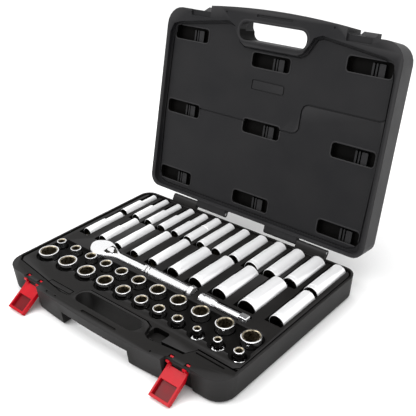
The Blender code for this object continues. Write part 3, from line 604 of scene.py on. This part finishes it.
def broach_tree():
    tree = bpy.data.node_groups.new("twelve_point_broach", "GeometryNodeTree")
    ids = {"Geometry": add_input(tree, "Geometry", "NodeSocketGeometry")}
    for name in ("Length", "Point radius", "Depth", "Square", "Lip radius"):
        ids[name] = add_input(tree, name, "NodeSocketFloat", 0.01)
    for name in ("Outside", "Inside", "Deepest"):
        ids[name] = add_input(tree, name, "NodeSocketMaterial")
    tree.interface.new_socket("Geometry", in_out="OUTPUT", socket_type="NodeSocketGeometry")
    new = tree.nodes.new
    link = tree.links.new
    group_in = new("NodeGroupInput")
    group_out = new("NodeGroupOutput")

    def maths(operation, a, b=None):
        node = new("ShaderNodeMath")
        node.operation = operation
        for slot_number, value in enumerate((a, b)):
            if isinstance(value, (int, float)):
                node.inputs[slot_number].default_value = value
            elif value is not None:
                link(value, node.inputs[slot_number])
        return node.outputs[0]

    def prism_of(curve, start, height):
        """A closed prism of a flat curve, from start to start + height."""
        fill = new("GeometryNodeFillCurve")
        fill.mode = "NGONS"
        link(curve, fill.inputs["Curve"])
        pull = new("GeometryNodeExtrudeMesh")
        pull.inputs["Individual"].default_value = False
        up = new("ShaderNodeCombineXYZ")
        up.inputs["Z"].default_value = 1.0
        link(fill.outputs[0], pull.inputs["Mesh"])
        link(up.outputs[0], pull.inputs["Offset"])
        link(height, pull.inputs["Offset Scale"])
        foot = new("GeometryNodeFlipFaces")
        link(fill.outputs[0], foot.inputs[0])
        both = new("GeometryNodeJoinGeometry")
        link(pull.outputs["Mesh"], both.inputs[0])
        link(foot.outputs[0], both.inputs[0])
        merge = new("GeometryNodeMergeByDistance")
        merge.inputs["Distance"].default_value = 1e-6
        link(both.outputs[0], merge.inputs["Geometry"])
        place = new("GeometryNodeTransform")
        lift = new("ShaderNodeCombineXYZ")
        link(start, lift.inputs["Z"])
        link(merge.outputs[0], place.inputs["Geometry"])
        link(lift.outputs[0], place.inputs["Translation"])
        return place.outputs[0]

    star = new("GeometryNodeCurveStar")
    star.inputs["Points"].default_value = 12
    link(group_in.outputs["Point radius"], star.inputs["Outer Radius"])
    link(maths("MULTIPLY", group_in.outputs["Point radius"], 0.8966), star.inputs["Inner Radius"])
    floor = maths("SUBTRACT", group_in.outputs["Length"], group_in.outputs["Depth"])
    broach = prism_of(star.outputs["Curve"], floor, maths("MULTIPLY", group_in.outputs["Depth"], 1.2))

    square = new("GeometryNodeCurvePrimitiveQuadrilateral")
    link(group_in.outputs["Square"], square.inputs["Width"])
    link(group_in.outputs["Square"], square.inputs["Height"])
    drive = prism_of(square.outputs[0], maths("MULTIPLY", group_in.outputs["Length"], -0.1),
                     maths("MULTIPLY", group_in.outputs["Length"], 1.05))

    cut = new("GeometryNodeMeshBoolean")
    cut.operation = "DIFFERENCE"
    cut.solver = "EXACT"
    link(group_in.outputs["Geometry"], cut.inputs["Mesh 1"])
    link(broach, cut.inputs["Mesh 2"])
    link(drive, cut.inputs["Mesh 2"])
    real = new("GeometryNodeRealizeInstances")
    link(cut.outputs["Mesh"], real.inputs[0])
    outside = new("GeometryNodeSetMaterial")
    link(real.outputs[0], outside.inputs["Geometry"])
    link(group_in.outputs["Outside"], outside.inputs["Material"])

    where = new("GeometryNodeInputPosition")
    parts = new("ShaderNodeSeparateXYZ")
    link(where.outputs[0], parts.inputs[0])
    squares = [maths("POWER", parts.outputs[way], 2.0) for way in ("X", "Y")]
    reach = maths("SQRT", maths("ADD", *squares))
    within = maths("LESS_THAN", reach, group_in.outputs["Lip radius"])
    under_lip = maths("SUBTRACT", group_in.outputs["Length"], 0.0002)
    below = maths("LESS_THAN", parts.outputs["Z"], under_lip)
    inside = new("GeometryNodeSetMaterial")
    link(outside.outputs[0], inside.inputs["Geometry"])
    link(maths("MULTIPLY", within, below), inside.inputs["Selection"])
    link(group_in.outputs["Inside"], inside.inputs["Material"])
    # The bottom of the bore gets the Deepest material, a painted shade.
    deep_down = maths("LESS_THAN", parts.outputs["Z"], maths("ADD", floor, 0.0003))
    deepest = new("GeometryNodeSetMaterial")
    link(inside.outputs[0], deepest.inputs["Geometry"])
    link(maths("MULTIPLY", within, deep_down), deepest.inputs["Selection"])
    link(group_in.outputs["Deepest"], deepest.inputs["Material"])
    link(deepest.outputs[0], group_out.inputs[0])
    return tree, ids


BROACH, BROACH_IDS = broach_tree()


# %% [markdown]
# A socket's own solid says where it is and how thick its foot and its nose are, so nothing has
# to be listed again. The turned profile adds what a lathe leaves: chamfers, the groove for the
# retaining ring at the drive end, and a fine step where the nose begins.


# %% Sockets
def measure_socket(node):
    """Where a socket's drive end is, which way it points, and its sizes."""
    low, high = (Vector(corner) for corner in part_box(node))
    deep = "deep" in node
    axis = Vector((0, 1, 0)) if deep else Vector((0, 0, 1))
    foot_point = (low + high) / 2
    along = 1 if deep else 2
    foot_point[along] = low[along]
    length = high[along] - low[along]
    rings = []
    for vertex in NODES[node].data.vertices:
        way = vertex.co - foot_point
        t = way.dot(axis)
        rings.append((t, (way - axis * t).length))
    foot = max(radius for t, radius in rings if t < 1 * MM)
    nose = max(radius for t, radius in rings if t > length - 1 * MM)
    bore = min(radius for t, radius in rings if t > length - 1 * MM)
    shoulder = max(t for t, radius in rings if radius > foot - 0.01 * MM)
    return foot_point, deep, length, foot, nose, bore, shoulder


def socket_profile(length, foot, nose, shoulder, lip, deep):
    """(radius, height) from the middle of the drive end, up the outside and in over the nose."""
    edge = 0.7 * MM
    groove = 6.2 * MM if deep else 4.4 * MM
    cut = 0.35 * MM
    profile = [(foot - edge, 0), (foot - 0.25 * edge, 0.25 * edge), (foot, edge)]
    profile += [(foot, groove), (foot - cut, groove + 0.15 * MM), (foot - cut, groove + 1.0 * MM)]
    profile += [(foot, groove + 1.15 * MM)]
    if foot > nose + 0.2 * MM:
        profile += [(foot, shoulder - 0.8 * MM), (foot - 0.5 * MM, shoulder)]
        profile += [(nose + 0.5 * MM, shoulder + 0.5 * MM), (nose, shoulder + 1.2 * MM)]
    elif deep:
        waist = length * 0.58
        slim = nose * 0.965
        profile += [(foot, waist), (slim, waist + 5 * MM)]
        nose = slim
    profile += [(nose, length - edge), (nose - 0.3 * edge, length - 0.25 * edge), (nose - edge, length)]
    profile += [(lip, length), (lip - 0.9 * MM, length - 0.9 * MM)]
    return profile


def make_socket(node):
    foot_point, deep, length, foot, nose, bore, shoulder = measure_socket(node)
    sides = 72
    lip = bore + 0.25 * MM
    profile = socket_profile(length, foot, nose, shoulder, lip, deep)
    loops = []
    for radius, height in profile:
        loops.append([(x, y, height) for x, y in disc(0, 0, radius, sides)])
    obj = mesh_object(node, lambda bm: skin(bm, loops))
    modifier = obj.modifiers.new("broach", "NODES")
    modifier.node_group = BROACH
    values = {
        "Length": length, "Point radius": lip - 0.95 * MM, "Depth": length * 0.42,
        "Square": min(9.6 * MM, (lip - 1 * MM) * 1.3), "Lip radius": lip - 0.1 * MM,
        "Outside": CHROME_LYING_PAINTED_REFLECTION if deep else CHROME, "Inside": BROACHED, "Deepest": BORE_SHADE,
    }
    for name, value in values.items():
        modifier[BROACH_IDS[name]] = value
    settle(obj)
    turn = Matrix.Rotation(-math.pi / 2, 4, "X") if deep else Matrix.Identity(4)
    obj.data.transform(Matrix.Translation(foot_point) @ turn)
    finish(obj, node + "_plated", node, [node])


for node in sorted(NODES):
    if node.startswith("socket_"):
        make_socket(node)

# %% [markdown]
# The ratchet is one forging. Its outline is a circle that runs into a neck, so the body is
# lofted through sections across the handle: each is a rounded rectangle whose half width and
# half height follow the outline. The grip and the end knob carry on the same loft.


# %% Ratchet body
def section(x, half_width, half_height, squareness, count=48):
    """One rounded-rectangle section across the handle. Squareness 2 is an ellipse."""
    points = []
    for i in range(count):
        angle = 2 * math.pi * i / count
        c, s = math.cos(angle), math.sin(angle)
        y = half_width * math.copysign(abs(c) ** (2 / squareness), c)
        z = half_height * math.copysign(abs(s) ** (2 / squareness), s)
        points.append((x, y, z))
    return points


def head_width(x, radius, neck, neck_end):
    """Half the head's width at x: a circle, then a smooth run into the neck."""
    leave = 0.45 * radius
    if x <= leave:
        return math.sqrt(max(radius * radius - x * x, 0))
    start = math.sqrt(radius * radius - leave * leave)
    t = min((x - leave) / (neck_end - leave), 1)
    smooth = t * t * (3 - 2 * t)
    return start + (neck - start) * (0.35 * t + 0.65 * smooth)


def make_ratchet_body():
    gear_low, gear_high = (Vector(corner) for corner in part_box("ratchet_gear"))
    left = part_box("ratchet_body")[0][0]
    centre = Vector((left + 17.8 * MM, (gear_low.y + gear_high.y) / 2, 33 * MM))
    radius = 17.7 * MM
    neck_end = 34 * MM
    neck = 5.2 * MM
    head = 6.9 * MM
    loops = []
    steps = 15
    for i in range(1, steps):
        x = -radius * math.cos(math.pi * 0.64 * i / steps)
        flat = math.sin(min(1.0, i / 4) * math.pi / 2)
        width = head_width(x, radius, neck, neck_end)
        loops.append(section(x, width, head * (0.62 + 0.38 * flat), 2 + 1.2 * flat))
    first = loops[-1][0][0]
    for i in range(1, 13):
        t = i / 12
        x = first + (neck_end - first) * t
        height = head + (4.6 * MM - head) * t ** 1.5
        loops.append(section(x, head_width(x, radius, neck, neck_end), height, 3.2 - 1.0 * t))
    handle = (
        (60, 4.9, 4.7, 2.1), (84.5, 5.0, 4.9, 2.0), (86, 7.1, 7.1, 2.0), (89.5, 7.1, 7.1, 2.0),
        (90, 5.9, 5.9, 2.0), (91.8, 5.9, 5.9, 2.0), (92.3, 7.0, 7.0, 2.0), (95, 7.0, 7.0, 2.0),
        (95.4, 6.2, 6.2, 2.0), (96.8, 6.2, 6.2, 2.0), (97.2, 6.9, 6.9, 2.0), (128, 6.8, 6.8, 2.0),
        (163, 6.0, 6.0, 2.0), (166, 6.6, 6.6, 2.0), (168, 8.6, 8.6, 2.0), (168.8, 8.95, 8.95, 2.0),
        (171.5, 8.95, 8.95, 2.0), (173.2, 8.2, 8.2, 2.0), (173.9, 6.8, 6.8, 2.0),
    )
    for x, half_width, half_height, squareness in handle:
        loops.append(section(x * MM, half_width * MM, half_height * MM, squareness))
    body = mesh_object("ratchet", lambda bm: skin(bm, loops))
    cuts = [
        prism(disc(0, 0, 14.5 * MM, 48), -30 * MM, 3.6 * MM),
        prism(slot(9 * MM, 22 * MM, -6.3 * MM, 6.3 * MM, 2 * MM), -4.2 * MM, 3.3 * MM),
        prism(slot(12.4 * MM, 32 * MM, -8.6 * MM, 8.6 * MM, 5.6 * MM), 5.1 * MM, 30 * MM),
        prism(disc(18 * MM, 0, 1.95 * MM, 24), 0, 30 * MM),
    ]
    combine(body, cuts, "DIFFERENCE")
    round_edges(body, 0.25 * MM, 2, 40)
    body.data.transform(Matrix.Translation(centre))
    metals = [CHROME_ALONG, BORE_SHADE]
    finish(body, "ratchet_forging", "ratchet", ["ratchet_body"], metals, sharp=50)

    def in_groove(place, normal):
        """Whether a face is in one of the grip's rings or in the recess round the lever."""
        x, y, z = place - centre
        ring_gap = 90.1 * MM < x < 91.7 * MM or 95.5 * MM < x < 96.7 * MM
        recess = 12.2 * MM < x < 32.2 * MM and abs(y) < 8.7 * MM and 5 * MM < z < 6.6 * MM
        return ring_gap or (recess and math.hypot(x - 18 * MM, y) > 2.5 * MM)

    # The grip's rings and the recess round the lever get the near-black steel as painted shade.
    paint_shade_in_hollows(body, in_groove)


make_ratchet_body()

# %% [markdown]
# What sits inside the head can hardly be seen, so the gear, the pawl, the cover, its ring and
# the detent balls keep their solids and only get bare steel. The lever is on top, so its copy
# gets rounded edges. The extension is a turned bar with a square milled at one end and
# broached at the other, and it is made in that order here.

# %% Ratchet works and extension
for node in ("ratchet_gear", "ratchet_pawl", "ratchet_cover_plate", "ratchet_retaining_ring",
             "ratchet_drive_ball", "extension_ball"):
    NODES[node].data.materials.clear()
    NODES[node].data.materials.append(STEEL)

lever = merged_copy("ratchet_lever", "lever")
round_edges(lever, 0.3 * MM, 2, 30)
finish(lever, "ratchet_lever_plated", "ratchet_lever", ["ratchet_lever"], [CHROME])


def make_extension():
    """The extension: the turned bar, its square end, and the socket and holes cut into it."""
    low, high = (Vector(corner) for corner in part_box("extension_bar"))
    start = Vector((low.x, (low.y + high.y) / 2, (low.z + high.z) / 2))
    end = high.x - low.x
    profile = [(0, 5.6), (0.5, 6.4), (1.1, 6.7), (20.5, 6.7), (21.5, 6.5), (23, 6.0), (26, 4.7),
               (28, 4.3), (end / MM - 13, 4.3), (end / MM - 12, 4.1), (end / MM - 11, 3.6)]
    loops = []
    for x, radius in profile:
        loops.append([(x * MM, y, z) for y, z in disc(0, 0, radius * MM, 64)])
    bar = mesh_object("extension", lambda bm: skin(bm, loops))
    loops = []
    square = ((end - 12.5 * MM, 4.0), (end - 11.5 * MM, 4.65), (end - 1.2 * MM, 4.65), (end, 3.7))
    for x, reach in square:
        corner = slot(-reach * MM, reach * MM, -reach * MM, reach * MM, 0.7 * MM, 3)
        loops.append([(x, y, z) for y, z in corner])
    male = mesh_object("male", lambda bm: skin(bm, loops))
    combine(bar, [male], "UNION")
    across = Matrix.Rotation(math.pi / 2, 4, "Y")
    half = 4.85 * MM
    drive = slot(-half, half, -half, half, 0.4 * MM, 2)
    female = prism(drive, -10 * MM, 12.5 * MM, across)
    detent = prism(disc(7 * MM, 0, 1.6 * MM, 24), 0, 20 * MM)
    second = prism(disc(16.5 * MM, 0, 1.5 * MM, 24), 3.6 * MM, 20 * MM)
    ball_low, ball_high = (Vector(corner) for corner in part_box("extension_ball"))
    ball = (ball_low + ball_high) / 2 - start
    sideways = Matrix.Translation(ball) @ Matrix.Rotation(math.pi / 2, 4, "X")
    seat = prism(disc(0, 0, 1.8 * MM, 24), -2.0 * MM, 10 * MM, sideways)
    combine(bar, [female, detent, second, seat], "DIFFERENCE")
    round_edges(bar, 0.2 * MM, 2, 40)
    bar.data.transform(Matrix.Translation(start))
    metals = [CHROME_ALONG]
    finish(bar, "extension_bar_plated", "extension", ["extension_bar"], metals, sharp=50)


make_extension()

# %% [markdown]
# The set stands on a plain pale floor under large soft lights, like a catalogue shot. Chrome is
# only as good as what it mirrors, so the lights are wide panels and the surroundings are bright.


# %% Floor and light
def make_floor():
    half = 6.0
    corners = [(-half, -half, 0), (half, -half, 0), (half, half, 0), (-half, half, 0)]
    floor = mesh_object(
        "studio_floor", lambda bm: bm.faces.new([bm.verts.new(corner) for corner in corners])
    )
    floor.location.z = -0.3 * MM
    material, tree, shader = principled("studio_white", Roughness=0.7)
    cloud = spread(tree, noise(tree, 3, 2), 0, 1)
    shade = blend_colours(tree, cloud, (0.90, 0.90, 0.90), (0.93, 0.93, 0.93))
    tree.links.new(shade, shader.inputs["Base Color"])
    floor.data.materials.append(material)


def soft_light(name, place, aim, size, power):
    light = bpy.data.lights.new(name, "AREA")
    light.shape = "RECTANGLE"
    light.size, light.size_y = size
    light.energy = power
    obj = bpy.data.objects.new(name, light)
    obj.location = place
    obj.rotation_euler = (Vector(aim) - Vector(place)).to_track_quat("-Z", "Y").to_euler()
    bpy.context.scene.collection.objects.link(obj)


make_floor()
world = bpy.data.worlds.new("studio")
bpy.context.scene.world = world
world.use_nodes = True
world.node_tree.nodes["Background"].inputs["Color"].default_value = (1, 1, 1, 1)
world.node_tree.nodes["Background"].inputs["Strength"].default_value = 1.0
bpy.context.scene.view_settings.view_transform = "Standard"
soft_light("key", (-0.7, -1.0, 1.5), (0, 0, 0.05), (1.0, 1.0), 16)
soft_light("top", (0.0, 0.1, 1.9), (0, 0, 0.05), (1.4, 1.0), 16)
soft_light("side", (1.5, -0.3, 1.0), (0, 0, 0.1), (1.0, 1.0), 5)
print("lights set")

# %% [markdown]
# The camera looks from the front right corner, a little under thirty degrees down. Its place
# and lens were solved from the case's own straight edges.

# %% Camera
AZIMUTH = math.radians(-41.76)
ELEVATION = math.radians(28.14)
ROLL = math.radians(-1.91)
level = math.cos(ELEVATION)
forward = Vector((math.sin(AZIMUTH) * level, math.cos(AZIMUTH) * level, -math.sin(ELEVATION)))
right = Vector((math.cos(AZIMUTH), -math.sin(AZIMUTH), 0))
above = right.cross(forward)
camera_right = right * math.cos(ROLL) + above * math.sin(ROLL)
camera_up = above * math.cos(ROLL) - right * math.sin(ROLL)
lens = bpy.data.cameras.new("camera")
lens.sensor_fit = "HORIZONTAL"
lens.angle = math.radians(33.56)
lens.clip_end = 50
camera = bpy.data.objects.new("camera", lens)
axes = Matrix((camera_right, camera_up, -forward)).transposed().to_4x4()
camera.matrix_world = Matrix.Translation(Vector((0.5527, -0.5528, 0.5414))) @ axes
bpy.context.scene.collection.objects.link(camera)
bpy.context.scene.camera = camera
print("camera at", tuple(round(v, 4) for v in camera.location))
